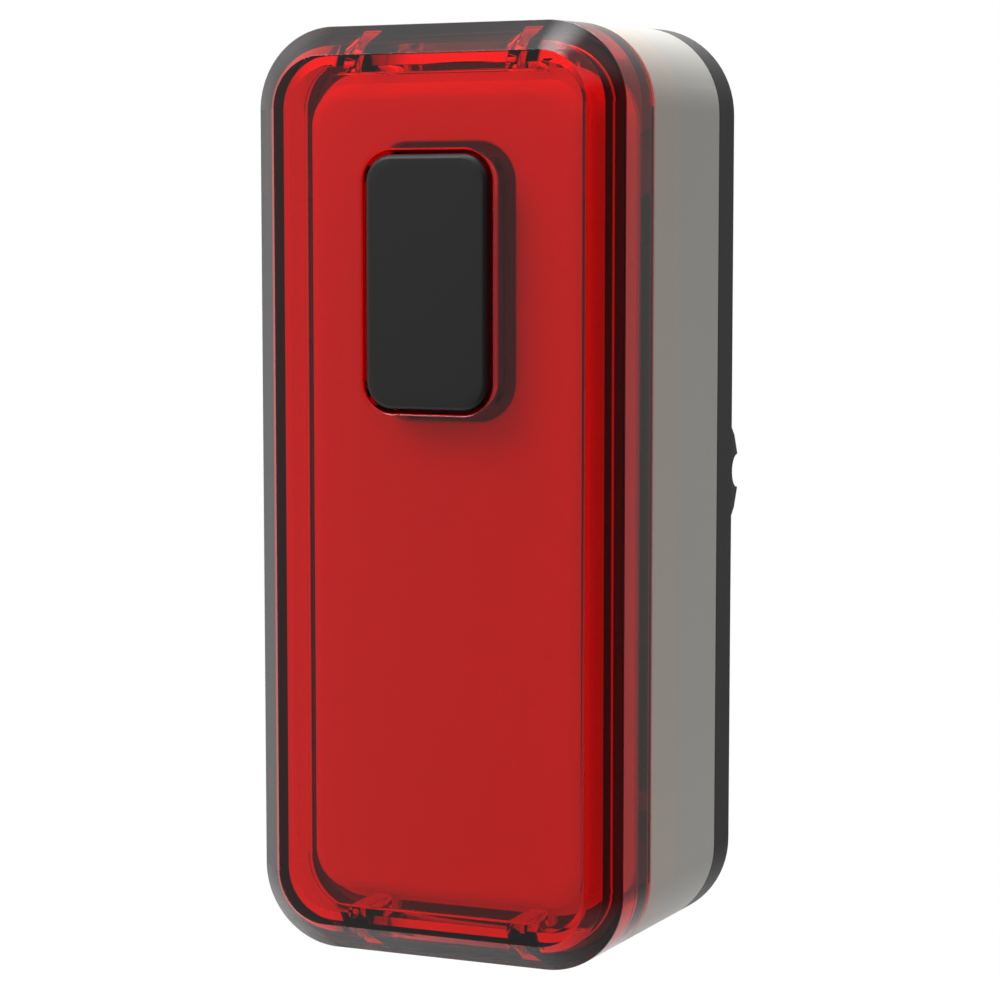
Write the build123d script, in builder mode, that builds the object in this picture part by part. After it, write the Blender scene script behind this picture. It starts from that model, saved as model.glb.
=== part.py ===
from build123d import *
import os
from math import atan, cos, degrees, pi, sin, sqrt

# Bike rear light, in millimetres. +Z is up and the lens looks along -Y.
# The origin is the centre of the flat rear face, where the light sits on its bracket.
# A station is a distance in front of that rear face.

os.makedirs("parts", exist_ok=True)

# Outer shape, measured at the edge where the sides meet the chamfer of the lens
body_width = 31.6
body_height = 75.0
body_corner = 6.55
side_flare = 0.88  # each side stands out this much further at the rear face
plate_deep = 3.65
lens_side_deep = 5.9
chamfer_deep = 2.3
chamfer_in = 2.4

# Shared fits
touch_gap = 0.1  # pieces that part when the cover comes off
slip_gap = 0.2  # loose fits
overrun = 1.0  # how far a cut runs past what it cuts

# Lens cover
lens_wall = 2.4
lens_front_wall = 2.2
lens_inner_chamfer = 0.83
lip_long = 1.2
lip_inset = 1.1
window_gap = 0.3  # between the button and its window in the lens
window_round = 0.2

# Posts inside the lens cover that hold the diffuser
post_width = 1.6
post_inset = 3.8  # from the end of the body to the inner side of a post

# Snap hooks on the lens cover
hook_inset = 8.8  # from the side of the body to the middle of a hook or post
hook_width = 1.6
hook_thick = 1.0
hook_reach_out = 1.1  # how far the barb stands out of the arm
barb_long = 1.2
hook_below_gasket = 2.1
barb_gap = 0.15
pocket_gap = 0.3  # between a hook and the sides of its pocket

# Light diffuser, the white box behind the lens
diffuser_side_gap = 1.4  # from the lens wall to the box
diffuser_end_gap = 2.05
diffuser_round = 1.4
diffuser_wall = 1.2
diffuser_recess = 1.7  # air between the lens and the diffuser
flange_thick = 0.9
diffuser_opening_gap = 1.0
diffuser_boss_radius = 1.5
diffuser_boss_gap = 0.4

# Button
button_width = 10.5
button_height = 20.1
button_corner = 2.2
button_down = 20.3  # from the top of the body to the middle of the button
button_proud = 0.3
button_round = 0.8
button_flange_wide = 1.5
button_flange_thick = 0.9
button_wall = 1.4
button_post_radius = 2.0
press_travel = 0.4

# Circuit board and what is soldered on it
board_overlap = 0.3  # how far the board covers the rim of the box
board_corner = 2.5
board_thick = 1.0
board_gap = 0.85  # from the cells to the board
board_hole_radius = 0.9
switch_size = 5.2
switch_high = 1.5
switch_cover_thick = 0.2
plunger_radius = 1.3
plunger_fit = 0.1
plunger_floor = 0.3  # left of the switch body under the pressed plunger
led_count = 5
led_width = 2.8
led_height = 3.5
led_high = 1.9
led_dome_radius = 1.1
led_dome_high = 0.3
resistor_width = 1.25
resistor_height = 2.0
resistor_high = 0.5
resistor_gap = 2.6  # from a diode to its resistor
chip_width = 3.9
chip_height = 4.9
chip_high = 1.5
chip_gap = 0.6  # from the wall of the box to the leads
chip_lead_count = 4
chip_lead_pitch = 1.27
chip_lead_width = 0.4
chip_lead_long = 1.0
chip_lead_high = 0.6

# Board screws
board_screw_radius = 0.8
board_screw_long = 3.6
board_screw_head_radius = 1.45
board_screw_head_high = 0.8
board_screw_slot = 0.4

# Housing
housing_wall = 2.0
housing_back_wall = 1.75
rebate_inset = 1.0
gasket_thick = 0.6
gasket_gap = 0.05
pocket_deep = 0.75  # how deep each hook pocket is cut in the housing wall
rib_thick = 1.2
rib_high = 3.2
rib_pitch = 13.0
rib_count = 3
end_wall_thick = 1.6
end_wall_over = 1.2  # how far the end walls stand above the contact plates
boss_radius = 2.5
boss_high = 6.0

# Cells, size AAA
cell_radius = 5.25
cell_long = 44.5
cell_tip_radius = 1.9
cell_tip_long = 1.0
cell_edge_round = 0.5
cell_apart = 0.4  # between the two cells
cell_gap = 0.25

# Battery contacts
contact_thick = 0.4
contact_apart = 2.9  # between the two upper plates
contact_short = 1.9  # less than the width of a cell
contact_start = 0.6  # above the back wall of the housing
tab_width = 3.0
spring_long = 3.0
spring_wire = 0.6
spring_base_radius = 3.5
spring_top_radius = 1.8
spring_turns = 3

# Rear plate
plate_edge = 0.15
screw_side_inset = 5.6
screw_radius = 1.1
screw_long = 8.5
screw_head_radius = 2.1
screw_head_high = 1.0
screw_slot = 0.6
screw_clear = 0.15
channel_mouth = 10.0
channel_width = 14.0
channel_lip = 1.1
channel_deep = 2.3
channel_long = 25.5  # from the bottom of the lens outline
core_side_inset = 4.8
core_above_channel = 7.0
core_below_screws = 8.2
core_deep = 1.5
core_corner = 2.0
lug_proud = 1.5
lug_base = 7.5
lug_knee_up = 3.1  # from the middle of a lug to the bend in its flank
lug_knee_proud = 0.7
lug_land = 0.1  # flat tip left beside the notch
lug_inset = 0.02
lug_wide = 3.2
lug_center = 0.8
lug_notch_radius = 1.4

# Stations that follow, stacked from the rear face through the cells to the lens
floor_station = plate_deep + housing_back_wall
cell_station = floor_station + cell_gap + cell_radius
board_back = cell_station + cell_radius + board_gap
board_front = board_back + board_thick
switch_top = board_front + switch_high
flange_station = board_front + flange_thick
button_back = switch_top + switch_cover_thick + plunger_fit + press_travel
button_flange_front = button_back + button_flange_thick
diffuser_inner = button_flange_front + touch_gap
diffuser_front = diffuser_inner + diffuser_wall
lens_inner_station = diffuser_front + diffuser_recess
front_station = lens_inner_station + lens_front_wall
edge_station = front_station - chamfer_deep
joint_station = edge_station - lens_side_deep
housing_deep = joint_station - plate_deep
lip_station = joint_station - lip_long
gasket_station = lip_station - gasket_thick
hook_end = gasket_station - hook_below_gasket
button_front = front_station + button_proud
draft = degrees(atan(side_flare / edge_station))

# Widths, heights and places that follow
hook_side = body_width / 2 - hook_inset
diffuser_width = body_width - 2 * (lens_wall + diffuser_side_gap)
diffuser_height = body_height - 2 * (lens_wall + diffuser_end_gap)
diffuser_corner = body_corner - lens_wall - diffuser_side_gap / 2
box_width = diffuser_width - 2 * diffuser_wall
box_height = diffuser_height - 2 * diffuser_wall
board_width = diffuser_width + 2 * board_overlap
board_height = diffuser_height + 2 * board_overlap
board_hole_side = box_width / 2 - diffuser_boss_radius - diffuser_boss_gap
board_hole_up = box_height / 2 - diffuser_boss_radius - diffuser_boss_gap
button_center = body_height / 2 - button_down
led_top = button_center - button_height / 2 - button_flange_wide
led_bottom = -box_height / 2
led_pitch = (led_top - led_bottom) / led_count
led_center = (led_top + led_bottom) / 2
resistor_side = led_width / 2 + resistor_gap + resistor_width / 2
chip_side = box_width / 2 - chip_gap - chip_lead_long - chip_width / 2
cell_side = cell_radius + cell_apart / 2
cell_bay = (cell_long + spring_long) / 2  # half the distance between the contact faces
end_wall = cell_bay + contact_thick
contact_width = 2 * cell_side - contact_apart
contact_high = 2 * cell_radius - contact_short
end_wall_high = contact_start + contact_high + end_wall_over
screw_side = body_width / 2 - screw_side_inset
screw_up = (end_wall + end_wall_thick + body_height / 2) / 2
channel_top = channel_long - body_height / 2
core_low = channel_top + core_above_channel
core_high = screw_up - core_below_screws


def grown(station, inset=0):
    """How far the outline stands outside its size at the chamfer edge."""
    return side_flare * (edge_station - station) / edge_station - inset


def outline(station, inset=0, mode=Mode.ADD):
    """Rounded outline of the body at a station, drawn in by an inset."""
    more = grown(station, inset)
    RectangleRounded(body_width + 2 * more, body_height + 2 * more, body_corner + more, mode=mode)


# Rear plate: dark moulded plate with the bracket channel and two detent lugs
with BuildPart() as rear_plate:
    with BuildSketch(Plane.XZ):
        outline(0)
    extrude(amount=plate_deep, taper=draft)
    chamfer(rear_plate.faces().sort_by(Axis.Y)[-1].edges(), length=plate_edge)
    # the plate is cored out from the front
    with BuildSketch(Plane.XZ.offset(plate_deep)):
        with Locations((0, (core_low + core_high) / 2)):
            RectangleRounded(body_width - 2 * core_side_inset, core_high - core_low, core_corner)
    extrude(amount=-core_deep, mode=Mode.SUBTRACT)
    # the channel for the bracket shoe, open at the bottom edge
    channel_cut = channel_long + side_flare + overrun
    channel_z = channel_top - channel_cut / 2
    with BuildSketch(Plane.XZ):
        with Locations((0, channel_z)):
            Rectangle(channel_mouth, channel_cut)
    extrude(amount=channel_deep, mode=Mode.SUBTRACT)
    with BuildSketch(Plane.XZ.offset(channel_lip)):
        with Locations((0, channel_z)):
            Rectangle(channel_width, channel_cut)
    extrude(amount=channel_deep - channel_lip, mode=Mode.SUBTRACT)
    # a lug at each side edge with a half-round notch for the bracket's spring wire
    lug_outer = body_width / 2 + grown(plate_edge) - lug_inset
    for lug_x in (lug_outer - lug_wide, -lug_outer):
        with BuildSketch(Plane.YZ.offset(lug_x)):
            with BuildLine():
                Polyline(
                    (-plate_edge, lug_center - lug_base / 2),
                    (0, lug_center - lug_base / 2),
                    (lug_knee_proud, lug_center - lug_knee_up),
                    (lug_proud, lug_center - lug_notch_radius - lug_land),
                    (lug_proud, lug_center + lug_notch_radius + lug_land),
                    (lug_knee_proud, lug_center + lug_knee_up),
                    (0, lug_center + lug_base / 2),
                    (-plate_edge, lug_center + lug_base / 2),
                    close=True,
                )
            make_face()
            with Locations((lug_proud, lug_center)):
                Circle(lug_notch_radius, mode=Mode.SUBTRACT)
        extrude(amount=lug_wide)
    # countersunk holes for the four screws
    with Locations(
        *[
            Plane(origin=(x, 0, z), z_dir=(0, 1, 0))
            for x in (-screw_side, screw_side)
            for z in (-screw_up, screw_up)
        ]
    ):
        CounterSinkHole(
            radius=screw_radius + screw_clear,
            counter_sink_radius=screw_head_radius + screw_clear,
            depth=plate_deep,
            counter_sink_angle=90,
        )
rear_plate.part.label = "rear_plate"
export_step(rear_plate.part, "parts/rear_plate.step")

# Four countersunk screws that hold the rear plate to the housing
with BuildPart() as plate_screws:
    with BuildSketch(Plane.XZ):
        with GridLocations(2 * screw_side, 2 * screw_up, 2, 2):
            Circle(screw_radius)
    extrude(amount=screw_long)
    with BuildSketch(Plane.XZ):
        with GridLocations(2 * screw_side, 2 * screw_up, 2, 2):
            Circle(screw_head_radius)
    extrude(amount=screw_head_high, taper=45)
    with BuildSketch(Plane.XZ):
        with GridLocations(2 * screw_side, 2 * screw_up, 2, 2):
            Rectangle(screw_head_radius, screw_slot)
            Rectangle(screw_slot, screw_head_radius)
    extrude(amount=screw_slot, mode=Mode.SUBTRACT)
plate_screws.part.label = "plate_screws"
export_step(plate_screws.part, "parts/plate_screws.step")

# Housing: white moulded shell that holds the two cells
with BuildPart() as housing_body:
    with BuildSketch(Plane.XZ.offset(plate_deep)):
        outline(plate_deep)
    extrude(amount=housing_deep, taper=draft)
    with BuildSketch(Plane.XZ.offset(floor_station)):
        outline(floor_station, housing_wall)
    extrude(amount=joint_station - floor_station, taper=draft, mode=Mode.SUBTRACT)
    # the rebate at the mouth takes the gasket and the lip of the lens
    with BuildSketch(Plane.XZ.offset(gasket_station)):
        outline(gasket_station, rebate_inset)
    extrude(amount=joint_station - gasket_station, taper=draft, mode=Mode.SUBTRACT)
    # ribs and end walls run from side wall to side wall
    span = body_width - housing_wall
    with BuildSketch(Plane.XZ.offset(floor_station)):
        with GridLocations(0, rib_pitch, 1, rib_count):
            Rectangle(span, rib_thick)
    extrude(amount=rib_high)
    with BuildSketch(Plane.XZ.offset(floor_station)):
        with GridLocations(0, 2 * end_wall + end_wall_thick, 1, 2):
            Rectangle(span, end_wall_thick)
    extrude(amount=end_wall_high)
    # screw bosses in the corners
    with BuildSketch(Plane.XZ.offset(floor_station)):
        with GridLocations(2 * screw_side, 2 * screw_up, 2, 2):
            Circle(boss_radius)
    extrude(amount=boss_high)
    # the cells lie in round cradles cut in the ribs
    with BuildSketch(Plane.XY.offset(-cell_bay)):
        with Locations((-cell_side, -cell_station), (cell_side, -cell_station)):
            Circle(cell_radius + cell_gap)
    extrude(amount=2 * cell_bay, mode=Mode.SUBTRACT)
    # holes for the plate screws, drilled from the back
    with BuildSketch(Plane.XZ.offset(plate_deep)):
        with GridLocations(2 * screw_side, 2 * screw_up, 2, 2):
            Circle(screw_radius)
    extrude(amount=screw_long - plate_deep + slip_gap, mode=Mode.SUBTRACT)
    # pockets that the barbs of the hooks click into
    pocket_top = body_height / 2 + grown(hook_end, housing_wall) + pocket_deep
    with BuildSketch(Plane.XZ.offset(hook_end - barb_gap)):
        with Locations((-hook_side, 0), (hook_side, 0)):
            Rectangle(hook_width + 2 * pocket_gap, 2 * pocket_top)
    extrude(amount=barb_long + 2 * barb_gap, mode=Mode.SUBTRACT)
housing_body.part.label = "housing_body"
export_step(housing_body.part, "parts/housing_body.step")

# Gasket: dark silicone ring at the bottom of the rebate
with BuildPart() as housing_gasket:
    with BuildSketch(Plane.XZ.offset(gasket_station)):
        outline(gasket_station, rebate_inset + gasket_gap)
        outline(gasket_station, housing_wall, Mode.SUBTRACT)
    extrude(amount=gasket_thick)
housing_gasket.part.label = "housing_gasket"
export_step(housing_gasket.part, "parts/housing_gasket.step")

# The hollow of the lens cover, with its front edge chamfered
with BuildPart() as lens_hollow:
    with BuildSketch(Plane.XZ.offset(lip_station)):
        outline(lip_station, lens_wall)
    extrude(amount=lens_inner_station - lip_station, taper=draft)
    chamfer(lens_hollow.faces().sort_by(Axis.Y)[0].edges(), length=lens_inner_chamfer)

# Lens cover: clear red moulding with a chamfered front edge and a window for the button
with BuildPart() as lens_cover:
    with BuildSketch(Plane.XZ.offset(joint_station)):
        outline(joint_station)
    extrude(amount=lens_side_deep, taper=draft)
    with BuildSketch(Plane.XZ.offset(edge_station)):
        outline(edge_station)
    with BuildSketch(Plane.XZ.offset(front_station)):
        outline(edge_station, chamfer_in)
    loft(ruled=True)
    with BuildSketch(Plane.XZ.offset(lip_station)):
        outline(lip_station, lip_inset)
    extrude(amount=lip_long, taper=draft)
    add(lens_hollow.part, mode=Mode.SUBTRACT)
    # four posts reach from its front wall to the flange of the diffuser
    post_low = body_height / 2 - post_inset
    post_high = body_height / 2 - lens_wall / 2
    with BuildSketch(Plane.XZ.offset(flange_station + touch_gap)):
        with GridLocations(2 * hook_side, post_low + post_high, 2, 2):
            Rectangle(post_width, post_high - post_low)
    extrude(amount=lens_inner_station - flange_station - touch_gap)
    with BuildSketch(Plane.XZ.offset(lens_inner_station)):
        with Locations((0, button_center)):
            RectangleRounded(
                button_width + 2 * window_gap,
                button_height + 2 * window_gap,
                button_corner + window_gap,
            )
    extrude(amount=lens_front_wall, mode=Mode.SUBTRACT)
    fillet(lens_cover.faces().sort_by(Axis.Y)[0].inner_wires()[0].edges(), radius=window_round)
lens_cover.part.label = "lens_cover"
export_step(lens_cover.part, "parts/lens_cover.step")

# Snap hooks: four short arms on the inner wall of the lens, behind the diffuser, each with a barb
with BuildPart() as snap_hooks:
    hook_start = board_front - touch_gap
    arm_top = body_height / 2 + grown(hook_start, lens_wall)
    for side in (-hook_side, hook_side):
        with BuildSketch(Plane.YZ.offset(side - hook_width / 2)):
            with BuildLine():
                Polyline(
                    (-hook_start, arm_top),
                    (-hook_end - barb_long, arm_top),
                    (-hook_end - barb_long, arm_top + hook_reach_out),
                    (-hook_end, arm_top),
                    (-hook_end, arm_top - hook_thick),
                    (-hook_start, arm_top - hook_thick),
                    close=True,
                )
            make_face()
        extrude(amount=hook_width)
    mirror(about=Plane.XY)
snap_hooks.part.label = "snap_hooks"
export_step(snap_hooks.part, "parts/snap_hooks.step")

# Light diffuser: white box with rounded front edges on a flange that fills the lens
with BuildPart() as light_diffuser:
    with BuildSketch(Plane.XZ.offset(board_front)):
        RectangleRounded(diffuser_width, diffuser_height, diffuser_corner)
    extrude(amount=diffuser_front - board_front)
    fillet(light_diffuser.faces().sort_by(Axis.Y)[0].edges(), radius=diffuser_round)
    with BuildSketch(Plane.XZ.offset(board_front)):
        outline(board_front, lens_wall)
    extrude(amount=flange_thick, taper=draft)
    with BuildSketch(Plane.XZ.offset(board_front)):
        RectangleRounded(box_width, box_height, diffuser_corner - diffuser_wall)
    extrude(amount=diffuser_inner - board_front, mode=Mode.SUBTRACT)
    # opening for the button
    with BuildSketch(Plane.XZ.offset(diffuser_inner)):
        with Locations((0, button_center)):
            RectangleRounded(
                button_width + 2 * diffuser_opening_gap,
                button_height + 2 * diffuser_opening_gap,
                button_corner + diffuser_opening_gap,
            )
    extrude(amount=diffuser_wall, mode=Mode.SUBTRACT)
    # bosses for the board screws
    with BuildSketch(Plane.XZ.offset(board_front)):
        with GridLocations(2 * board_hole_side, 2 * board_hole_up, 2, 2):
            Circle(diffuser_boss_radius)
    extrude(amount=diffuser_inner - board_front)
    with BuildSketch(Plane.XZ.offset(board_front)):
        with GridLocations(2 * board_hole_side, 2 * board_hole_up, 2, 2):
            Circle(board_screw_radius)
    extrude(amount=board_screw_long - board_thick + slip_gap, mode=Mode.SUBTRACT)
light_diffuser.part.label = "light_diffuser"
export_step(light_diffuser.part, "parts/light_diffuser.step")

# Button: dark cap with a flange behind the diffuser and a post over the switch
with BuildPart() as power_button:
    with BuildSketch(Plane.XZ.offset(button_back)):
        with Locations((0, button_center)):
            RectangleRounded(button_width, button_height, button_corner)
    extrude(amount=button_front - button_back)
    fillet(power_button.faces().sort_by(Axis.Y)[0].edges(), radius=button_round)
    with BuildSketch(Plane.XZ.offset(button_back)):
        with Locations((0, button_center)):
            RectangleRounded(
                button_width + 2 * button_flange_wide,
                button_height + 2 * button_flange_wide,
                button_corner + button_flange_wide,
            )
    extrude(amount=button_flange_thick)
    with BuildSketch(Plane.XZ.offset(button_back)):
        with Locations((0, button_center)):
            RectangleRounded(
                button_width - 2 * button_wall,
                button_height - 2 * button_wall,
                button_corner - button_wall,
            )
            Circle(button_post_radius, mode=Mode.SUBTRACT)
    extrude(amount=button_front - button_wall - button_back, mode=Mode.SUBTRACT)
power_button.part.label = "power_button"
export_step(power_button.part, "parts/power_button.step")

# Circuit board, screwed to the back of the diffuser
with BuildPart() as circuit_board:
    with BuildSketch(Plane.XZ.offset(board_back)):
        RectangleRounded(board_width, board_height, board_corner)
        with GridLocations(2 * board_hole_side, 2 * board_hole_up, 2, 2):
            Circle(board_hole_radius, mode=Mode.SUBTRACT)
    extrude(amount=board_thick)
circuit_board.part.label = "circuit_board"
export_step(circuit_board.part, "parts/circuit_board.step")

# Four small pan head screws that hold the board
with BuildPart() as board_screws:
    with BuildSketch(Plane.XZ.offset(board_back)):
        with GridLocations(2 * board_hole_side, 2 * board_hole_up, 2, 2):
            Circle(board_screw_radius)
    extrude(amount=board_screw_long)
    with BuildSketch(Plane.XZ.offset(board_back)):
        with GridLocations(2 * board_hole_side, 2 * board_hole_up, 2, 2):
            Circle(board_screw_head_radius)
    extrude(amount=-board_screw_head_high)
    with BuildSketch(Plane.XZ.offset(board_back - board_screw_head_high)):
        with GridLocations(2 * board_hole_side, 2 * board_hole_up, 2, 2):
            Rectangle(board_screw_head_radius, board_screw_slot)
            Rectangle(board_screw_slot, board_screw_head_radius)
    extrude(amount=board_screw_slot, mode=Mode.SUBTRACT)
board_screws.part.label = "board_screws"
export_step(board_screws.part, "parts/board_screws.step")

# Five light-emitting diodes in a column under the diffuser
with BuildPart() as light_leds:
    with BuildSketch(Plane.XZ.offset(board_front)):
        with Locations((0, led_center)):
            with GridLocations(0, led_pitch, 1, led_count):
                Rectangle(led_width, led_height)
    extrude(amount=led_high)
    with BuildSketch(Plane.XZ.offset(board_front + led_high)):
        with Locations((0, led_center)):
            with GridLocations(0, led_pitch, 1, led_count):
                Circle(led_dome_radius)
    extrude(amount=led_dome_high, taper=45)
light_leds.part.label = "light_leds"
export_step(light_leds.part, "parts/light_leds.step")

# One resistor beside each diode
with BuildPart() as led_resistors:
    with BuildSketch(Plane.XZ.offset(board_front)):
        with Locations((resistor_side, led_center)):
            with GridLocations(0, led_pitch, 1, led_count):
                Rectangle(resistor_width, resistor_height)
    extrude(amount=resistor_high)
led_resistors.part.label = "led_resistors"
export_step(led_resistors.part, "parts/led_resistors.step")

# Control chip with four leads a side
with BuildPart() as control_chip:
    with BuildSketch(Plane.XZ.offset(board_front)):
        with Locations((-chip_side, led_center)):
            Rectangle(chip_width, chip_height)
    extrude(amount=chip_high)
    with BuildSketch(Plane.XZ.offset(board_front)):
        with Locations((-chip_side, led_center)):
            with GridLocations(0, chip_lead_pitch, 1, chip_lead_count):
                Rectangle(chip_width + 2 * chip_lead_long, chip_lead_width)
    extrude(amount=chip_lead_high)
control_chip.part.label = "control_chip"
export_step(control_chip.part, "parts/control_chip.step")

# Body of the push switch, bored for its plunger
plunger_bottom = board_front + plunger_floor + press_travel
with BuildPart() as switch_body:
    with BuildSketch(Plane.XZ.offset(board_front)):
        with Locations((0, button_center)):
            Rectangle(switch_size, switch_size)
    extrude(amount=switch_high)
    with BuildSketch(Plane.XZ.offset(switch_top)):
        with Locations((0, button_center)):
            Circle(plunger_radius + plunger_fit)
    extrude(amount=-(switch_high - plunger_floor), mode=Mode.SUBTRACT)
switch_body.part.label = "switch_body"
export_step(switch_body.part, "parts/switch_body.step")

# Steel cover plate of the push switch
with BuildPart() as switch_cover:
    with BuildSketch(Plane.XZ.offset(switch_top)):
        with Locations((0, button_center)):
            Rectangle(switch_size, switch_size)
            Circle(plunger_radius + plunger_fit, mode=Mode.SUBTRACT)
    extrude(amount=switch_cover_thick)
switch_cover.part.label = "switch_cover"
export_step(switch_cover.part, "parts/switch_cover.step")

# Plunger of the push switch, in contact with the post of the button
with BuildPart() as switch_plunger:
    with BuildSketch(Plane.XZ.offset(plunger_bottom)):
        with Locations((0, button_center)):
            Circle(plunger_radius)
    extrude(amount=button_back - plunger_bottom)
switch_plunger.part.label = "switch_plunger"
export_step(switch_plunger.part, "parts/switch_plunger.step")

# Left cell, with its positive tip up
with BuildPart() as cell_left:
    with BuildSketch(Plane.XY.offset(cell_bay - cell_long)):
        with Locations((-cell_side, -cell_station)):
            Circle(cell_radius)
    extrude(amount=cell_long - cell_tip_long)
    rims = cell_left.edges().filter_by(GeomType.CIRCLE)
    fillet(rims, radius=cell_edge_round)
    with BuildSketch(Plane.XY.offset(cell_bay - cell_tip_long)):
        with Locations((-cell_side, -cell_station)):
            Circle(cell_tip_radius)
    extrude(amount=cell_tip_long)
cell_left.part.label = "cell_left"
export_step(cell_left.part, "parts/cell_left.step")

# Right cell, the same turned end for end
with BuildPart() as cell_right:
    add(cell_left.part.rotate(Axis.Y, 180))
cell_right.part.label = "cell_right"
export_step(cell_right.part, "parts/cell_right.step")


def contact_plate(center, width):
    """Plate against the upper end wall, drawn as seen from above."""
    low = floor_station + contact_start
    with Locations((center, -(low + contact_high / 2))):
        Rectangle(width, contact_high)


def contact_tab(center):
    """Tab that runs from a plate to just short of the board."""
    low = floor_station + contact_start
    high = board_back - touch_gap
    with Locations((center, -(low + high) / 2)):
        Rectangle(tab_width, high - low)


# Upper contact plates: the positive one is flat, the negative one carries a spring
with BuildPart() as positive_contact:
    with BuildSketch(Plane.XY.offset(cell_bay)):
        contact_plate(-cell_side, contact_width)
        contact_tab(-cell_side)
    extrude(amount=contact_thick)
positive_contact.part.label = "positive_contact"
export_step(positive_contact.part, "parts/positive_contact.step")

with BuildPart() as negative_contact:
    with BuildSketch(Plane.XY.offset(cell_bay)):
        contact_plate(cell_side, contact_width)
        contact_tab(cell_side)
    extrude(amount=contact_thick)
negative_contact.part.label = "negative_contact"
export_step(negative_contact.part, "parts/negative_contact.step")

# Lower contact plate, which joins the two cells in series
with BuildPart() as bridge_contact:
    with BuildSketch(Plane.XY.offset(-cell_bay - contact_thick)):
        contact_plate(0, 2 * cell_side + contact_width)
    extrude(amount=contact_thick)
bridge_contact.part.label = "bridge_contact"
export_step(bridge_contact.part, "parts/bridge_contact.step")


def coil_point(turn):
    """Point on the spring's centre line after a number of turns."""
    share = turn / spring_turns
    radius = spring_base_radius + (spring_top_radius - spring_base_radius) * share
    rise = spring_wire / 2 + (spring_long - spring_wire) * share
    around = 2 * pi * turn
    return Vector(
        -cell_side + radius * cos(around),
        -cell_station + radius * sin(around),
        -cell_bay + rise,
    )


def coil_direction(turn):
    """Direction of the spring's centre line there."""
    radius = spring_base_radius + (spring_top_radius - spring_base_radius) * turn / spring_turns
    inward = (spring_top_radius - spring_base_radius) / spring_turns
    around = 2 * pi * turn
    return Vector(
        inward * cos(around) - 2 * pi * radius * sin(around),
        inward * sin(around) + 2 * pi * radius * cos(around),
        (spring_long - spring_wire) / spring_turns,
    ).normalized()


# One conical spring of round wire, wound from pairs of tangent arcs each quarter turn
quarters = 4 * spring_turns
with BuildPart() as one_spring:
    with BuildLine():
        for quarter in range(quarters):
            start, end = coil_point(quarter / 4), coil_point((quarter + 1) / 4)
            leave, arrive = coil_direction(quarter / 4), coil_direction((quarter + 1) / 4)
            chord, both = end - start, leave + arrive
            a, b, c = both.dot(both) - 4, -2 * chord.dot(both), chord.dot(chord)
            reach = (-b - sqrt(b * b - 4 * a * c)) / (2 * a)
            first, second = start + leave * reach, end - arrive * reach
            middle = (first + second) * 0.5
            TangentArc(start, middle, tangent=leave)
            TangentArc(middle, end, tangent=second - first)
    with BuildSketch(Plane(origin=coil_point(0), z_dir=coil_direction(0))):
        Circle(spring_wire / 2)
    sweep()

# The two springs, one under the left cell and one over the right cell
with BuildPart() as cell_springs:
    add(one_spring.part)
    add(one_spring.part.rotate(Axis.Y, 180))
cell_springs.part.label = "cell_springs"
export_step(cell_springs.part, "parts/cell_springs.step")
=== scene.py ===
from math import cos, pi, radians, sin, tan

import bmesh
import bpy
from mathutils import Matrix, Vector


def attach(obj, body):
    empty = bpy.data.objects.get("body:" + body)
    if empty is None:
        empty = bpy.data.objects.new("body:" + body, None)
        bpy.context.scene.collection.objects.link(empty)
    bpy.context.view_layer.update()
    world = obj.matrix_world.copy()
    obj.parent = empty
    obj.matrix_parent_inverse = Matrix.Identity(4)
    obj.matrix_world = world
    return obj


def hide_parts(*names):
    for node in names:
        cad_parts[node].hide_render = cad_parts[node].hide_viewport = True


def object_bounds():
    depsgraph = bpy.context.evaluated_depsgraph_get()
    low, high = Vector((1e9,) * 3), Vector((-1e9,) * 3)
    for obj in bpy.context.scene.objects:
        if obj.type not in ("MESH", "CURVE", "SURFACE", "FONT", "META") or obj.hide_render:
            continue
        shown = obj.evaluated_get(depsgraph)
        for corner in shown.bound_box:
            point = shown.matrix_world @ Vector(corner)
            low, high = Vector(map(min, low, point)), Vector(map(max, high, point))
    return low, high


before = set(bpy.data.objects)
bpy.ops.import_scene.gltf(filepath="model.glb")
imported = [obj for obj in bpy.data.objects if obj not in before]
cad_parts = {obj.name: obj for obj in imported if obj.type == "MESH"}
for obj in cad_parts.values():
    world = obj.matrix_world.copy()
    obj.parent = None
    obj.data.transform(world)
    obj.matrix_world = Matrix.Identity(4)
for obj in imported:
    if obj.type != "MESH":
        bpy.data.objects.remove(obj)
cad_box = [list(corner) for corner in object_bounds()]
scene = bpy.context.scene
scene.view_settings.view_transform = "Standard"


# Camera: a long lens that looks at the light from a little right of its front and a little above, as in the
# photograph. Its place is measured from the middle of the flat back of the light.
mm = 0.001
camera_data = bpy.data.cameras.new("camera")
camera_data.lens = 99.4
camera_data.sensor_width = 36.0
camera = bpy.data.objects.new("camera", camera_data)
camera_right = Vector((0.92104952, 0.38944548, 0.0))
camera_up = Vector((-0.03694103, 0.08736656, 0.99549106))
camera_back = camera_right.cross(camera_up)
camera_turn = Matrix((camera_right, camera_up, camera_back)).transposed()
camera_place = Vector((89.986, -224.321, 20.766)) * mm
camera.matrix_world = Matrix.Translation(camera_place) @ camera_turn.to_4x4()
scene.collection.objects.link(camera)
scene.camera = camera


# Studio: a white sweep under a pale dome that falls off towards the right, as if a dark flag stood there; for
# rays other than the camera's, the sweep's colour carries the same fall-off as painted shade, and a painted
# brighter pool beneath the object. A soft lamp stands at the front left, one behind, and a lit sheet overhead
# leaves the glint on the lens.
white = "#FFFFFF"


def linear(code):
    """Turns an sRGB hex colour to a linear one."""
    shares = [int(code[i : i + 2], 16) / 255 for i in (1, 3, 5)]
    return (*[s / 12.92 if s <= 0.04045 else ((s + 0.055) / 1.055) ** 2.4 for s in shares], 1.0)


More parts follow.
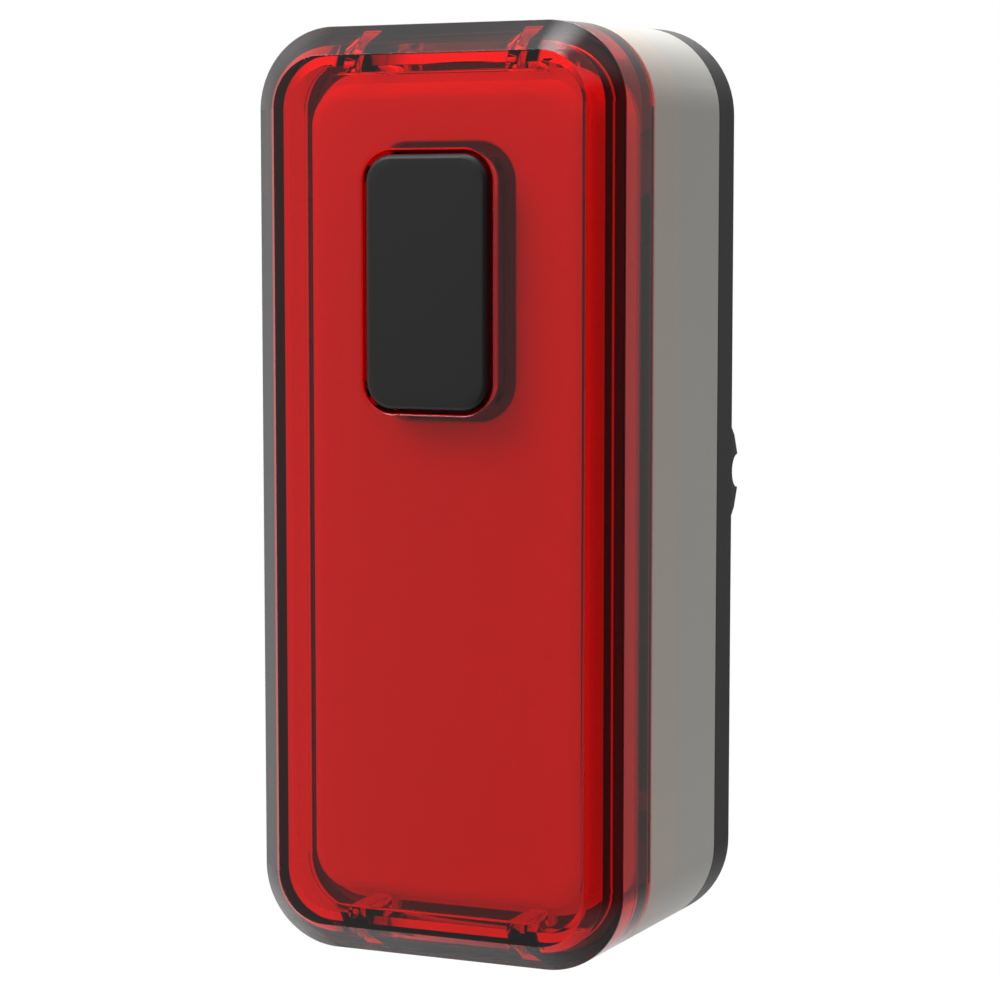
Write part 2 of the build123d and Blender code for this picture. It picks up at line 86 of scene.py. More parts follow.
def add_node(tree, kind, values=None, **settings):
    """Adds a node. values gives its inputs, by name or number, as values or as sockets to link."""
    made = tree.nodes.new(kind)
    for name, value in settings.items():
        setattr(made, name, value)
    for name, value in (values or {}).items():
        if isinstance(value, bpy.types.NodeSocket):
            tree.links.new(value, made.inputs[name])
        else:
            made.inputs[name].default_value = value
    return made


def studio_light(tree, direction):
    """Brightness of the studio in a direction from the object: white at the left, dim at the right."""
    aim = add_node(tree, "ShaderNodeVectorMath", {0: direction}, operation="NORMALIZE")
    side = add_node(
        tree, "ShaderNodeVectorMath", {0: aim.outputs[0], 1: (0.95, -0.29, -0.1)}, operation="DOT_PRODUCT"
    )
    return add_node(
        tree,
        "ShaderNodeMapRange",
        {"Value": side.outputs["Value"], "From Min": -0.9, "From Max": 0.6, "To Min": 0.75, "To Max": 0.08},
    ).outputs[0]


world = bpy.data.worlds.new("studio")
world.use_nodes = True
scene.world = world
tree = world.node_tree
tree.nodes.clear()
direction = add_node(tree, "ShaderNodeTexCoord").outputs["Generated"]
sides = studio_light(tree, direction)
height = add_node(tree, "ShaderNodeSeparateXYZ", {0: direction}).outputs["Z"]
above = add_node(
    tree,
    "ShaderNodeMapRange",
    {"Value": height, "From Min": 0.25, "From Max": 0.75, "To Min": 0.0, "To Max": 0.5},
    interpolation_type="SMOOTHSTEP",
).outputs[0]
dome = add_node(tree, "ShaderNodeMath", {0: sides, 1: above}, operation="ADD").outputs[0]
rays = add_node(tree, "ShaderNodeLightPath").outputs
# the backdrop is white, also through the lens, where it is brightest overhead
plain = add_node(
    tree, "ShaderNodeMath", {0: rays["Is Camera Ray"], 1: rays["Is Transmission Ray"]}, operation="MAXIMUM"
).outputs[0]
strength = add_node(tree, "ShaderNodeMix", {0: plain, 2: dome, 3: 1.0}).outputs[0]
overhead = add_node(tree, "ShaderNodeMath", {0: above, 1: rays["Is Transmission Ray"]}, operation="MULTIPLY")
strength = add_node(
    tree, "ShaderNodeMath", {0: overhead.outputs[0], 1: 1.6, 2: strength}, operation="MULTIPLY_ADD"
).outputs[0]
shade = add_node(tree, "ShaderNodeBackground", {"Color": linear(white), "Strength": strength})
add_node(tree, "ShaderNodeOutputWorld", {"Surface": shade.outputs[0]})


def sheet(name, reach, height):
    """A level square sheet that belongs to the studio, sizes in metres."""
    corners = [(x * reach, y * reach, height) for x, y in ((-1, -1), (1, -1), (1, 1), (-1, 1))]
    mesh = bpy.data.meshes.new(name)
    mesh.from_pydata(corners, [], [(0, 1, 2, 3)])
    piece = bpy.data.objects.new(name, mesh)
    scene.collection.objects.link(piece)
    return piece


floor = sheet("floor", 3.0, -85 * mm)
sweep = bpy.data.materials.new("matt_white_sweep")
sweep.use_nodes = True
tree = sweep.node_tree
tree.nodes.clear()
place = add_node(tree, "ShaderNodeTexCoord").outputs["Object"]
rays = add_node(tree, "ShaderNodeLightPath").outputs
plain = add_node(
    tree, "ShaderNodeMath", {0: rays["Is Camera Ray"], 1: rays["Is Transmission Ray"]}, operation="MAXIMUM"
).outputs[0]
# for rays other than the camera's the sweep's colour is painted shade that dims towards the right, as if a
# dark flag stood there, and painted light that brightens it beneath the object
drop = add_node(tree, "ShaderNodeVectorMath", {0: place}, operation="NORMALIZE").outputs[0]
depth = add_node(tree, "ShaderNodeSeparateXYZ", {0: drop}).outputs["Z"]
painted_pool_beneath = add_node(
    tree,
    "ShaderNodeMapRange",
    {"Value": depth, "From Min": -0.3, "From Max": -0.8, "To Min": 0.0, "To Max": 0.3},
    interpolation_type="SMOOTHSTEP",
).outputs[0]
sides = studio_light(tree, place)
painted_flag_shade = add_node(tree, "ShaderNodeMath", {0: sides, 1: painted_pool_beneath}, operation="ADD").outputs[0]
level = add_node(tree, "ShaderNodeMix", {0: plain, 2: painted_flag_shade, 3: 1.0}).outputs[0]
paper_with_painted_shade = add_node(tree, "ShaderNodeMix", {0: level, 6: (0, 0, 0, 1), 7: linear("#F7F7F7")}, data_type="RGBA")
matt = add_node(tree, "ShaderNodeBsdfDiffuse", {"Color": paper_with_painted_shade.outputs[2]})
glow = add_node(tree, "ShaderNodeEmission", {"Color": linear(white), "Strength": level})
distance = add_node(tree, "ShaderNodeVectorMath", {0: place}, operation="LENGTH").outputs["Value"]
far = add_node(
    tree,
    "ShaderNodeMapRange",
    {"Value": distance, "From Min": 0.06, "From Max": 0.2},
    interpolation_type="SMOOTHSTEP",
).outputs[0]
seen = add_node(tree, "ShaderNodeMath", {0: plain, 1: rays["Is Glossy Ray"]}, operation="MAXIMUM").outputs[0]
blend = add_node(tree, "ShaderNodeMath", {0: far, 1: seen}, operation="MULTIPLY").outputs[0]
mixed = add_node(tree, "ShaderNodeMixShader", {0: blend, 1: matt.outputs[0], 2: glow.outputs[0]})
add_node(tree, "ShaderNodeOutputMaterial", {"Surface": mixed.outputs[0]})
floor.data.materials.append(sweep)


def facing(place):
    """Transform that stands at a place and faces the middle of the object."""
    return Matrix.Translation(place) @ Vector(place).to_track_quat("Z", "Y").to_matrix().to_4x4()


def softbox(name, place, size, power):
    """A square lamp that faces the middle of the object, place and size in metres."""
    data = bpy.data.lights.new(name, "AREA")
    data.shape = "SQUARE"
    data.size = size
    data.energy = power
    lamp = bpy.data.objects.new(name, data)
    lamp.matrix_world = facing(place)
    scene.collection.objects.link(lamp)


softbox("front_softbox", (-0.25, -0.42, 0.38), 0.25, 0.97)
softbox("rim_softbox", (-0.03, 0.33, 0.47), 0.3, 1.2)

# the overhead lamp is a sheet that glows brightest in its middle, so its reflection has soft edges
lamp_reach = 0.2
lamp_sheet = sheet("overhead_lamp", lamp_reach, 0.0)
lamp_sheet.matrix_world = facing((-0.04, -0.11, 0.49))
lamp_sheet.visible_transmission = False
glowing = bpy.data.materials.new("lamp_diffuser_cloth")
glowing.use_nodes = True
tree = glowing.node_tree
tree.nodes.clear()
place = add_node(tree, "ShaderNodeTexCoord").outputs["Object"]
out = add_node(tree, "ShaderNodeVectorMath", {0: place}, operation="LENGTH").outputs["Value"]
level = add_node(
    tree,
    "ShaderNodeMapRange",
    {"Value": out, "From Min": 0.0, "From Max": lamp_reach, "To Min": 5.0, "To Max": 0.0},
    interpolation_type="SMOOTHSTEP",
).outputs[0]
glow = add_node(tree, "ShaderNodeEmission", {"Color": linear(white), "Strength": level})
thin = add_node(tree, "ShaderNodeBsdfTransparent")
both = add_node(tree, "ShaderNodeAddShader", {0: thin.outputs[0], 1: glow.outputs[0]})
add_node(tree, "ShaderNodeOutputMaterial", {"Surface": both.outputs[0]})
lamp_sheet.data.materials.append(glowing)


# Rear plate: dark grey ABS moulding screwed to the back of the housing. It carries the channel that slides
# onto the bracket and a lug at each side with a notch for the bracket's wire. Its edges are slightly eased.
def moulded_plastic(name, colour, roughness, grain, grain_depth):
    """Injection-moulded plastic: an even colour with faint flow shading and a spark-eroded grain."""
    material = bpy.data.materials.new(name)
    material.use_nodes = True
    tree = material.node_tree
    surface = tree.nodes["Principled BSDF"]
    place = add_node(tree, "ShaderNodeTexCoord").outputs["Object"]
    # broad, very faint shading from the way the melt filled the mould, some 12 mm wide
    flow = add_node(tree, "ShaderNodeTexNoise", {"Vector": place, "Scale": 1 / (12 * mm), "Detail": 2.0})
    tint = add_node(tree, "ShaderNodeMapRange", {0: flow.outputs[0], 3: 0.96, 4: 1.0}).outputs[0]
    base = add_node(
        tree, "ShaderNodeMix", {0: tint, 6: (0, 0, 0, 1), 7: linear(colour)}, data_type="RGBA"
    ).outputs[2]
    tree.links.new(base, surface.inputs["Base Color"])
    speck = add_node(tree, "ShaderNodeTexNoise", {"Vector": place, "Scale": 1 / (grain * mm), "Detail": 3.0})
    rough = add_node(
        tree, "ShaderNodeMapRange", {0: speck.outputs[0], 3: roughness - 0.05, 4: roughness + 0.05}
    ).outputs[0]
    tree.links.new(rough, surface.inputs["Roughness"])
    bump = add_node(
        tree, "ShaderNodeBump", {"Height": speck.outputs[0], "Strength": 1.0, "Distance": grain_depth * mm}
    )
    tree.links.new(bump.outputs[0], surface.inputs["Normal"])
    surface.inputs["IOR"].default_value = 1.53
    return material


def smooth(mesh):
    """Shades a mesh smooth, with its flat faces kept flat, and returns an object that holds it."""
    mesh.shade_smooth()
    mesh.set_sharp_from_angle(angle=radians(38))
    piece = bpy.data.objects.new(mesh.name, mesh)
    scene.collection.objects.link(piece)
    weighted = piece.modifiers.new("flat faces first", "WEIGHTED_NORMAL")
    weighted.keep_sharp = True
    return piece


def settled(piece):
    """Turns a piece and its modifiers to a plain mesh."""
    mesh = bpy.data.meshes.new_from_object(piece.evaluated_get(bpy.context.evaluated_depsgraph_get()))
    mesh.name = piece.name
    piece.modifiers.clear()
    piece.data = mesh
    return piece


def eased(node, name, edge):
    """A copy of a CAD node's shape with its sharp edges rounded."""
    form = bmesh.new()
    form.from_mesh(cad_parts[node].data)
    bmesh.ops.remove_doubles(form, verts=form.verts, dist=0.002 * mm)
    bmesh.ops.dissolve_limit(form, angle_limit=radians(0.3), verts=form.verts, edges=form.edges)
    mesh = bpy.data.meshes.new(name)
    form.to_mesh(mesh)
    form.free()
    piece = smooth(mesh)
    rounding = piece.modifiers.new("eased edges", "BEVEL")
    rounding.width = edge * mm
    rounding.segments = 3
    rounding.limit_method = "ANGLE"
    rounding.angle_limit = radians(38)
    rounding.use_clamp_overlap = False
    piece.modifiers.move(1, 0)
    piece = settled(piece)
    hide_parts(node)
    return piece


def finished(piece, material, body):
    """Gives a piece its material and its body."""
    piece.data.materials.clear()
    piece.data.materials.append(material)
    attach(piece, body)


plate_abs = moulded_plastic("dark_grey_moulded_abs", "#2A2A2C", 0.42, 0.3, 0.006)
plate = eased("rear_plate", "back_plate", 0.05)
# where the eased edges of the lugs meet, their corners are kept flush with the sides of the plate
for vertex in plate.data.vertices:
    vertex.co.x = min(max(vertex.co.x, cad_box[0][0]), cad_box[1][0])
finished(plate, plate_abs, "housing")


# Plate screws: four countersunk steel screws with a cross recess, zinc plated, that hold the rear plate.
# One screw is turned and recessed, then set at the corners of a grid.
def rounded_rectangle(form, base, station, more=0.0, steps=10):
    """Corner points of one ring, in order, drawn as (width, height, corner, x, z) grown by a width."""
    width, height, corner, x, z = base
    points = []
    for side, top, turn in ((1, 1, 0), (-1, 1, 1), (-1, -1, 2), (1, -1, 3)):
        for step in range(steps + 1):
            angle = pi / 2 * (turn + step / steps)
            across = side * (width / 2 - corner) + (corner + more) * cos(angle)
            up = top * (height / 2 - corner) + (corner + more) * sin(angle)
            points.append(form.verts.new(Vector((x + across, -station, z + up)) * mm))
    return points


def rings(form, base, line, steps=10, arc_steps=4):
    """Rings along a profile line of (station, growth, rounding), its corners turned to arcs."""
    path = []
    for i, (station, more, turn) in enumerate(line):
        here = Vector((station, more))
        if turn == 0:
            path.append(here)
            continue
        back = (Vector(line[i - 1][:2]) - here).normalized()
        on = (Vector(line[i + 1][:2]) - here).normalized()
        half = back.angle(on) / 2
        centre = here + (back + on).normalized() * turn / sin(half)
        start = here + back * turn / tan(half) - centre
        end = here + on * turn / tan(half) - centre
        path += [centre + turn * start.slerp(end, step / arc_steps) for step in range(arc_steps + 1)]
    return [rounded_rectangle(form, base, point[0], point[1], steps) for point in path]


def skin(form, loops, closed=False):
    """Joins rings one to the next, and the last to the first where the skin is closed."""
    pairs = list(zip(loops, loops[1:])) + ([(loops[-1], loops[0])] if closed else [])
    for one, two in pairs:
        for i in range(len(one)):
            j = (i + 1) % len(one)
            form.faces.new((one[i], one[j], two[j], two[i]))


def capped(form, loops):
    """Joins rings one to the next and closes the first and the last."""
    skin(form, loops)
    form.faces.new(loops[0])
    form.faces.new(loops[-1])


def shaped(form, name):
    """Closes a form, turns its faces outwards and returns it as a shaded piece."""
    bmesh.ops.recalc_face_normals(form, faces=form.faces)
    mesh = bpy.data.meshes.new(name)
    form.to_mesh(mesh)
    form.free()
    return smooth(mesh)


def plated_steel(name, colour, roughness, wear):
    """Plated steel: bright, with a faint haze and fine handling marks."""
    material = bpy.data.materials.new(name)
    material.use_nodes = True
    tree = material.node_tree
    surface = tree.nodes["Principled BSDF"]
    place = add_node(tree, "ShaderNodeTexCoord").outputs["Object"]
    haze = add_node(tree, "ShaderNodeTexNoise", {"Vector": place, "Scale": 1 / (wear * mm), "Detail": 4.0})
    tone = add_node(tree, "ShaderNodeMapRange", {0: haze.outputs[0], 3: 0.85, 4: 1.0}).outputs[0]
    base = add_node(
        tree, "ShaderNodeMix", {0: tone, 6: (0, 0, 0, 1), 7: linear(colour)}, data_type="RGBA"
    ).outputs[2]
    tree.links.new(base, surface.inputs["Base Color"])
    rough = add_node(
        tree, "ShaderNodeMapRange", {0: haze.outputs[0], 3: roughness - 0.08, 4: roughness + 0.08}
    ).outputs[0]
    tree.links.new(rough, surface.inputs["Roughness"])
    surface.inputs["Metallic"].default_value = 1.0
    return material


def grid_tree():
    """Geometry Nodes tree that repeats a pattern piece over an upright grid."""
    tree = bpy.data.node_groups.new("repeat_on_grid", "GeometryNodeTree")
    sockets = (
        ("Pattern", "NodeSocketObject"),
        ("Finish", "NodeSocketMaterial"),
        ("Columns", "NodeSocketInt"),
        ("Rows", "NodeSocketInt"),
        ("Width", "NodeSocketFloat"),
        ("Height", "NodeSocketFloat"),
        ("Centre", "NodeSocketVector"),
    )
    for name, kind in sockets:
        tree.interface.new_socket(name, in_out="INPUT", socket_type=kind)
    tree.interface.new_socket("Geometry", in_out="OUTPUT", socket_type="NodeSocketGeometry")
    given = add_node(tree, "NodeGroupInput").outputs
    grid = add_node(
        tree,
        "GeometryNodeMeshGrid",
        {
            "Size X": given["Width"],
            "Size Y": given["Height"],
            "Vertices X": given["Columns"],
            "Vertices Y": given["Rows"],
        },
    )
    upright = add_node(
        tree,
        "GeometryNodeTransform",
        {"Geometry": grid.outputs["Mesh"], "Translation": given["Centre"], "Rotation": (pi / 2, 0, 0)},
    )
    pattern = add_node(tree, "GeometryNodeObjectInfo", {"Object": given["Pattern"], "As Instance": True})
    placed = add_node(
        tree,
        "GeometryNodeInstanceOnPoints",
        {"Points": upright.outputs[0], "Instance": pattern.outputs["Geometry"]},
    )
    real = add_node(tree, "GeometryNodeRealizeInstances", {0: placed.outputs[0]})
    painted = add_node(
        tree, "GeometryNodeSetMaterial", {"Geometry": real.outputs[0], "Material": given["Finish"]}
    )
    add_node(tree, "NodeGroupOutput", {0: painted.outputs[0]})
    return tree


def run_tree(name, tree, **inputs):
    """Runs a Geometry Nodes tree on an empty piece and returns the result as a plain mesh."""
    piece = bpy.data.objects.new(name, bpy.data.meshes.new(name))
    scene.collection.objects.link(piece)
    modifier = piece.modifiers.new(tree.name, "NODES")
    modifier.node_group = tree
    for item in tree.interface.items_tree:
        if item.in_out == "INPUT" and item.name in inputs:
            modifier[item.identifier] = inputs[item.name]
    return settled(piece)


repeat = grid_tree()


def repeated(name, pattern, finish, columns, rows, width, height, x, z):
    """Repeats a pattern piece over a grid, sizes in millimetres, then drops the pattern."""
    piece = run_tree(
        name,
        repeat,
        Pattern=pattern,
        Finish=finish,
        Columns=columns,
        Rows=rows,
        Width=width * mm,
        Height=height * mm,
        Centre=(x * mm, 0.0, z * mm),
    )
    bpy.data.objects.remove(pattern)
    return piece


def screw(name, profile, recess_wide, recess_thick, recess_deep):
    """One screw along Y from (station, radius, rounding) points, its head first, with a cross recess."""
    form = bmesh.new()
    capped(form, rings(form, (0.0, 0.0, 0.0, 0.0, 0.0), profile, steps=6, arc_steps=2))
    bmesh.ops.remove_doubles(form, verts=form.verts, dist=0.0005 * mm)
    blank = shaped(form, name)
    form = bmesh.new()
    for wide, thick in ((recess_wide, recess_thick), (recess_thick, recess_wide)):
        ends = (profile[0][0] - 0.5, profile[0][0] + recess_deep)
        corners = [
            Vector((x * wide / 2 * share, -station, z * thick / 2 * share)) * mm
            for station, share in zip(ends, (1.15, 0.7))
            for x, z in ((-1, -1), (1, -1), (1, 1), (-1, 1))
        ]
        points = [form.verts.new(corner) for corner in corners]
        form.faces.new(points[:4])
        form.faces.new(points[4:])
        skin(form, [points[:4], points[4:]])
    cutter = shaped(form, "recess")
    cut = blank.modifiers.new("cross recess", "BOOLEAN")
    cut.operation = "DIFFERENCE"
    cut.solver = "EXACT"
    cut.use_self = True
    cut.object = cutter
    blank.modifiers.move(1, 0)
    blank = settled(blank)
    bpy.data.objects.remove(cutter)
    return blank


screw_side = 10.2
screw_up = 31.625
zinc = plated_steel("zinc_plated_steel", "#B9BCC2", 0.32, 1.2)
plate_screw = screw(
    "plate_screw",
    (
        (0.0, 1.8, 0),
        (0.0, 2.08, 0.06),
        (1.0, 1.09, 0.1),
        (8.2, 1.09, 0),
        (8.45, 0.8, 0),
    ),
    recess_wide=2.1,
    recess_thick=0.6,
    recess_deep=0.6,
)
plate_screw_set = repeated(
    "plate_screw_set", plate_screw, zinc, 2, 2, 2 * screw_side, 2 * screw_up, 0.0, 0.0
)
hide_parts("plate_screws")
finished(plate_screw_set, zinc, "housing")


# Housing: white ABS shell, moulded in one piece with the cradles for the cells, the end walls and the screw
# bosses. Towards its mouth, where the red lens stands against it, its colour carries a painted warm glow that
# stands in for red light from the lens.
white_abs = moulded_plastic("white_moulded_abs", "#E9E6DF", 0.38, 0.3, 0.003)
tree = white_abs.node_tree
surface = tree.nodes["Principled BSDF"]
cool = surface.inputs["Base Color"].links[0].from_socket
place = add_node(tree, "ShaderNodeTexCoord").outputs["Object"]
depth = add_node(tree, "ShaderNodeSeparateXYZ", {0: place}).outputs["Y"]
# painted glow: in front of 13 mm the wall's colour turns warm, standing in for red light from the lens
lens_glow_share = add_node(
    tree, "ShaderNodeMapRange", {0: depth, 1: -12.8 * mm, 2: -13.0 * mm, 3: 0.0, 4: 1.0}
).outputs[0]
painted_lens_glow = add_node(tree, "ShaderNodeMix", {0: lens_glow_share, 6: cool, 7: linear("#EFE4D8")}, data_type="RGBA")
tree.links.new(painted_lens_glow.outputs[2], surface.inputs["Base Color"])
shell = eased("housing_body", "housing_shell", 0.1)
finished(shell, white_abs, "housing")


# Gasket: a ring of dark silicone that lies in the rebate at the mouth of the housing, with a thin flap that
# covers the rim under the lens.
silicone = moulded_plastic("dark_silicone_rubber", "#26262A", 0.6, 0.2, 0.002)
body_base = (31.6, 75.0, 6.55, 0.0, 0.0)
ring_back = 16.3
ring_front = 16.9
flap_back = 18.105
flap_front = 18.155
form = bmesh.new()
loops = rings(
    form,
    body_base,
    (
        (ring_back, -0.748, 0),
        (ring_back, -1.698, 0.1),
        (ring_front, -1.72, 0.1),
        (ring_front, -0.815, 0),
        (flap_front, -0.861, 0),
        (flap_front, 0.064, 0),
        (flap_back, 0.066, 0),
        (flap_back, -0.814, 0),
    ),
    steps=16,
)
skin(form, loops, closed=True)
gasket = settled(shaped(form, "gasket_ring"))
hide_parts("housing_gasket")
finished(gasket, silicone, "housing")


# Cells: two AAA cells, each a nickel plated can in a plain printed plastic sleeve. They stand side by side in
# their cradles, head to tail, held between the springs and the contacts.
sleeve = bpy.data.materials.new("printed_cell_sleeve")
sleeve.use_nodes = True
tree = sleeve.node_tree
surface = tree.nodes["Principled BSDF"]
place = add_node(tree, "ShaderNodeTexCoord").outputs["Object"]
axes = add_node(tree, "ShaderNodeSeparateXYZ", {0: place}).outputs
# the left cell stands with its tip up and the right one with its tip down
turned = add_node(tree, "ShaderNodeMath", {0: axes["X"], 1: 0.0}, operation="LESS_THAN").outputs[0]
sign = add_node(tree, "ShaderNodeMapRange", {0: turned, 3: -1.0, 4: 1.0}).outputs[0]
along = add_node(tree, "ShaderNodeMath", {0: axes["Z"], 1: sign}, operation="MULTIPLY").outputs[0]
bands = add_node(tree, "ShaderNodeMapRange", {0: along, 1: -22.0 * mm, 2: 24.0 * mm}).outputs[0]
ramp = add_node(tree, "ShaderNodeValToRGB", {0: bands})
ramp.color_ramp.interpolation = "CONSTANT"
stops = ramp.color_ramp.elements
stops[0].color = linear("#C4C2BC")
stops[1].position = 0.035
stops[1].color = linear("#3C5A66")
for position, colour in ((0.74, "#C9CDCB"), (0.76, "#7FA08C"), (0.945, "#C4C2BC")):
    stops.new(position).color = linear(colour)
tree.links.new(ramp.outputs[0], surface.inputs["Base Color"])
can = add_node(tree, "ShaderNodeValToRGB", {0: bands})
can.color_ramp.interpolation = "CONSTANT"
stops = can.color_ramp.elements
stops[0].color = (1, 1, 1, 1)
stops[1].position = 0.035
stops[1].color = (0.25, 0.25, 0.25, 1)
stops.new(0.945).color = (1, 1, 1, 1)
tree.links.new(can.outputs[0], surface.inputs["Metallic"])
ripple = add_node(tree, "ShaderNodeTexNoise", {"Vector": place, "Scale": 1 / (3 * mm), "Detail": 3.0})
rough = add_node(tree, "ShaderNodeMapRange", {0: ripple.outputs[0], 3: 0.22, 4: 0.38}).outputs[0]
tree.links.new(rough, surface.inputs["Roughness"])
bump = add_node(tree, "ShaderNodeBump", {"Height": ripple.outputs[0], "Distance": 0.01 * mm})
tree.links.new(bump.outputs[0], surface.inputs["Normal"])
for node in ("cell_left", "cell_right"):
    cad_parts[node].data.materials[0] = sleeve


# Contacts: pressed plates of nickel plated spring steel, held against the end walls of the housing. Two serve
# the poles at the top, and the third bridges the cells at the bottom.
nickel = plated_steel("nickel_plated_steel", "#CFCBC2", 0.24, 2.0)
for node in ("positive_contact", "negative_contact", "bridge_contact"):
    piece = eased(node, node + "_plate", 0.06)
    finished(piece, nickel, "housing")


# Cell springs: two conical springs wound from 0.6 mm wire, one under the left cell and its twin, turned end
# for end, over the right one. A spiral carries a round section.
spring_tree = bpy.data.node_groups.new("conical_springs", "GeometryNodeTree")
for name, kind in (
    ("Finish", "NodeSocketMaterial"),
    ("Turns", "NodeSocketFloat"),
    ("Base Radius", "NodeSocketFloat"),
    ("Top Radius", "NodeSocketFloat"),
    ("Rise", "NodeSocketFloat"),
    ("Wire Radius", "NodeSocketFloat"),
    ("Seat", "NodeSocketVector"),
):
    spring_tree.interface.new_socket(name, in_out="INPUT", socket_type=kind)
spring_tree.interface.new_socket("Geometry", in_out="OUTPUT", socket_type="NodeSocketGeometry")
given = add_node(spring_tree, "NodeGroupInput").outputs
spiral = add_node(
    spring_tree,
    "GeometryNodeCurveSpiral",
    {
        "Resolution": 40,
        "Rotations": given["Turns"],
        "Start Radius": given["Base Radius"],
        "End Radius": given["Top Radius"],
        "Height": given["Rise"],
    },
)
section = add_node(
    spring_tree, "GeometryNodeCurvePrimitiveCircle", {"Resolution": 12, "Radius": given["Wire Radius"]}
)
wire = add_node(
    spring_tree,
    "GeometryNodeCurveToMesh",
    {"Curve": spiral.outputs[0], "Profile Curve": section.outputs[0], "Fill Caps": True},
)
seated = add_node(
    spring_tree, "GeometryNodeTransform", {"Geometry": wire.outputs[0], "Translation": given["Seat"]}
)
twin = add_node(
    spring_tree, "GeometryNodeTransform", {"Geometry": seated.outputs[0], "Rotation": (0, pi, 0)}
)
both = add_node(spring_tree, "GeometryNodeJoinGeometry")
spring_tree.links.new(seated.outputs[0], both.inputs[0])
spring_tree.links.new(twin.outputs[0], both.inputs[0])
real = add_node(spring_tree, "GeometryNodeRealizeInstances", {0: both.outputs[0]})
shaded = add_node(spring_tree, "GeometryNodeSetShadeSmooth", {0: real.outputs[0]})
painted = add_node(
    spring_tree, "GeometryNodeSetMaterial", {"Geometry": shaded.outputs[0], "Material": given["Finish"]}
)
add_node(spring_tree, "NodeGroupOutput", {0: painted.outputs[0]})
springs = run_tree(
    "cell_spring_pair",
    spring_tree,
    Finish=nickel,
    Turns=3.0,
    **{
        "Base Radius": 3.5 * mm,
        "Top Radius": 1.8 * mm,
        "Rise": 2.4 * mm,
        "Wire Radius": 0.3 * mm,
        "Seat": (-5.45 * mm, -10.9 * mm, -23.45 * mm),
    },
)
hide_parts("cell_springs")
finished(springs, nickel, "housing")


# Circuit board: glass-fibre laminate under green solder mask, with fine tracks that show as a paler green.
# Four screws hold it to the back of the diffuser.
laminate = bpy.data.materials.new("green_solder_mask")
laminate.use_nodes = True
tree = laminate.node_tree
surface = tree.nodes["Principled BSDF"]
place = add_node(tree, "ShaderNodeTexCoord").outputs["Object"]
parts = add_node(tree, "ShaderNodeSeparateXYZ", {0: place}).outputs
# the tracks run up the board in lanes 1.1 mm apart, step 2 mm sideways at 45 degrees, and end in open fields
run = add_node(tree, "ShaderNodeMath", {0: parts["Z"], 1: 9.0 * mm}, operation="PINGPONG").outputs[0]
sideways = add_node(
    tree, "ShaderNodeMapRange", {0: run, 1: 3.5 * mm, 2: 5.5 * mm, 3: 0.0, 4: 2.0 * mm}
).outputs[0]
shifted = add_node(tree, "ShaderNodeMath", {0: parts["X"], 1: sideways}, operation="ADD").outputs[0]
lane = add_node(tree, "ShaderNodeMath", {0: shifted, 1: 0.55 * mm}, operation="PINGPONG").outputs[0]
track = add_node(tree, "ShaderNodeMapRange", {0: lane, 1: 0.17 * mm, 2: 0.12 * mm}).outputs[0]
patch = add_node(tree, "ShaderNodeTexNoise", {"Vector": place, "Scale": 1 / (8 * mm), "Detail": 0.0})
field = add_node(tree, "ShaderNodeMapRange", {0: patch.outputs[0], 1: 0.46, 2: 0.48}).outputs[0]
tracks = add_node(tree, "ShaderNodeMath", {0: track, 1: field}, operation="MULTIPLY").outputs[0]
green = add_node(
    tree, "ShaderNodeMix", {0: tracks, 6: linear("#14532D"), 7: linear("#2A7440")}, data_type="RGBA"
)
tree.links.new(green.outputs[2], surface.inputs["Base Color"])
bump = add_node(tree, "ShaderNodeBump", {"Height": tracks, "Distance": 0.03 * mm})
tree.links.new(bump.outputs[0], surface.inputs["Normal"])
surface.inputs["Roughness"].default_value = 0.3
board = eased("circuit_board", "board", 0.05)
finished(board, laminate, "front_cover")


# Board screws: four small pan head steel screws, zinc plated, with a cross recess. They are driven from the
# back, through the board and into the bosses of the diffuser.
board_hole_side = 8.9
board_hole_up = 29.95
board_screw = screw(
    "board_screw",
    (
        (16.2, 1.1, 0),
        (16.2, 1.44, 0.3),
        (17.0, 1.44, 0),
        (17.0, 0.79, 0),
        (20.4, 0.79, 0),
        (20.6, 0.5, 0),
    ),
    recess_wide=1.5,
    recess_thick=0.4,
    recess_deep=0.4,
)
board_screw_set = repeated(
    "board_screw_set", board_screw, zinc, 2, 2, 2 * board_hole_side, 2 * board_hole_up, 0.0, 0.0
)
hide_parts("board_screws")
finished(board_screw_set, zinc, "front_cover")


# Diodes and resistors: five white packages with a clear dome over a red chip, soldered in a column, and a
# black chip resistor with tinned ends beside each.
led_white = bpy.data.materials.new("white_diode_package")
led_white.use_nodes = True
tree = led_white.node_tree
surface = tree.nodes["Principled BSDF"]
place = add_node(tree, "ShaderNodeTexCoord").outputs["Object"]
depth = add_node(tree, "ShaderNodeSeparateXYZ", {0: place}).outputs["Y"]
board_front = 18.0
led_front = 19.9
dome_start = led_front + 0.02
dome = add_node(tree, "ShaderNodeMath", {0: depth, 1: -dome_start * mm}, operation="LESS_THAN").outputs[0]
grit = add_node(tree, "ShaderNodeTexNoise", {"Vector": place, "Scale": 1 / (0.2 * mm)}).outputs[0]
pale = add_node(
    tree, "ShaderNodeMix", {0: grit, 6: linear("#E4E0D6"), 7: linear("#F3F0E8")}, data_type="RGBA"
).outputs[2]
tone = add_node(tree, "ShaderNodeMix", {0: dome, 6: pale, 7: linear("#F2B9A0")}, data_type="RGBA").outputs[2]
tree.links.new(tone, surface.inputs["Base Color"])
rough = add_node(tree, "ShaderNodeMapRange", {0: dome, 3: 0.45, 4: 0.08}).outputs[0]
tree.links.new(rough, surface.inputs["Roughness"])
led_count = 5
led_pitch = 7.5
led_center = -13.1
led_base = (2.8, 3.5, 0.25, 0.0, 0.0)
dome_base = (2.2, 2.2, 1.1, 0.0, 0.0)
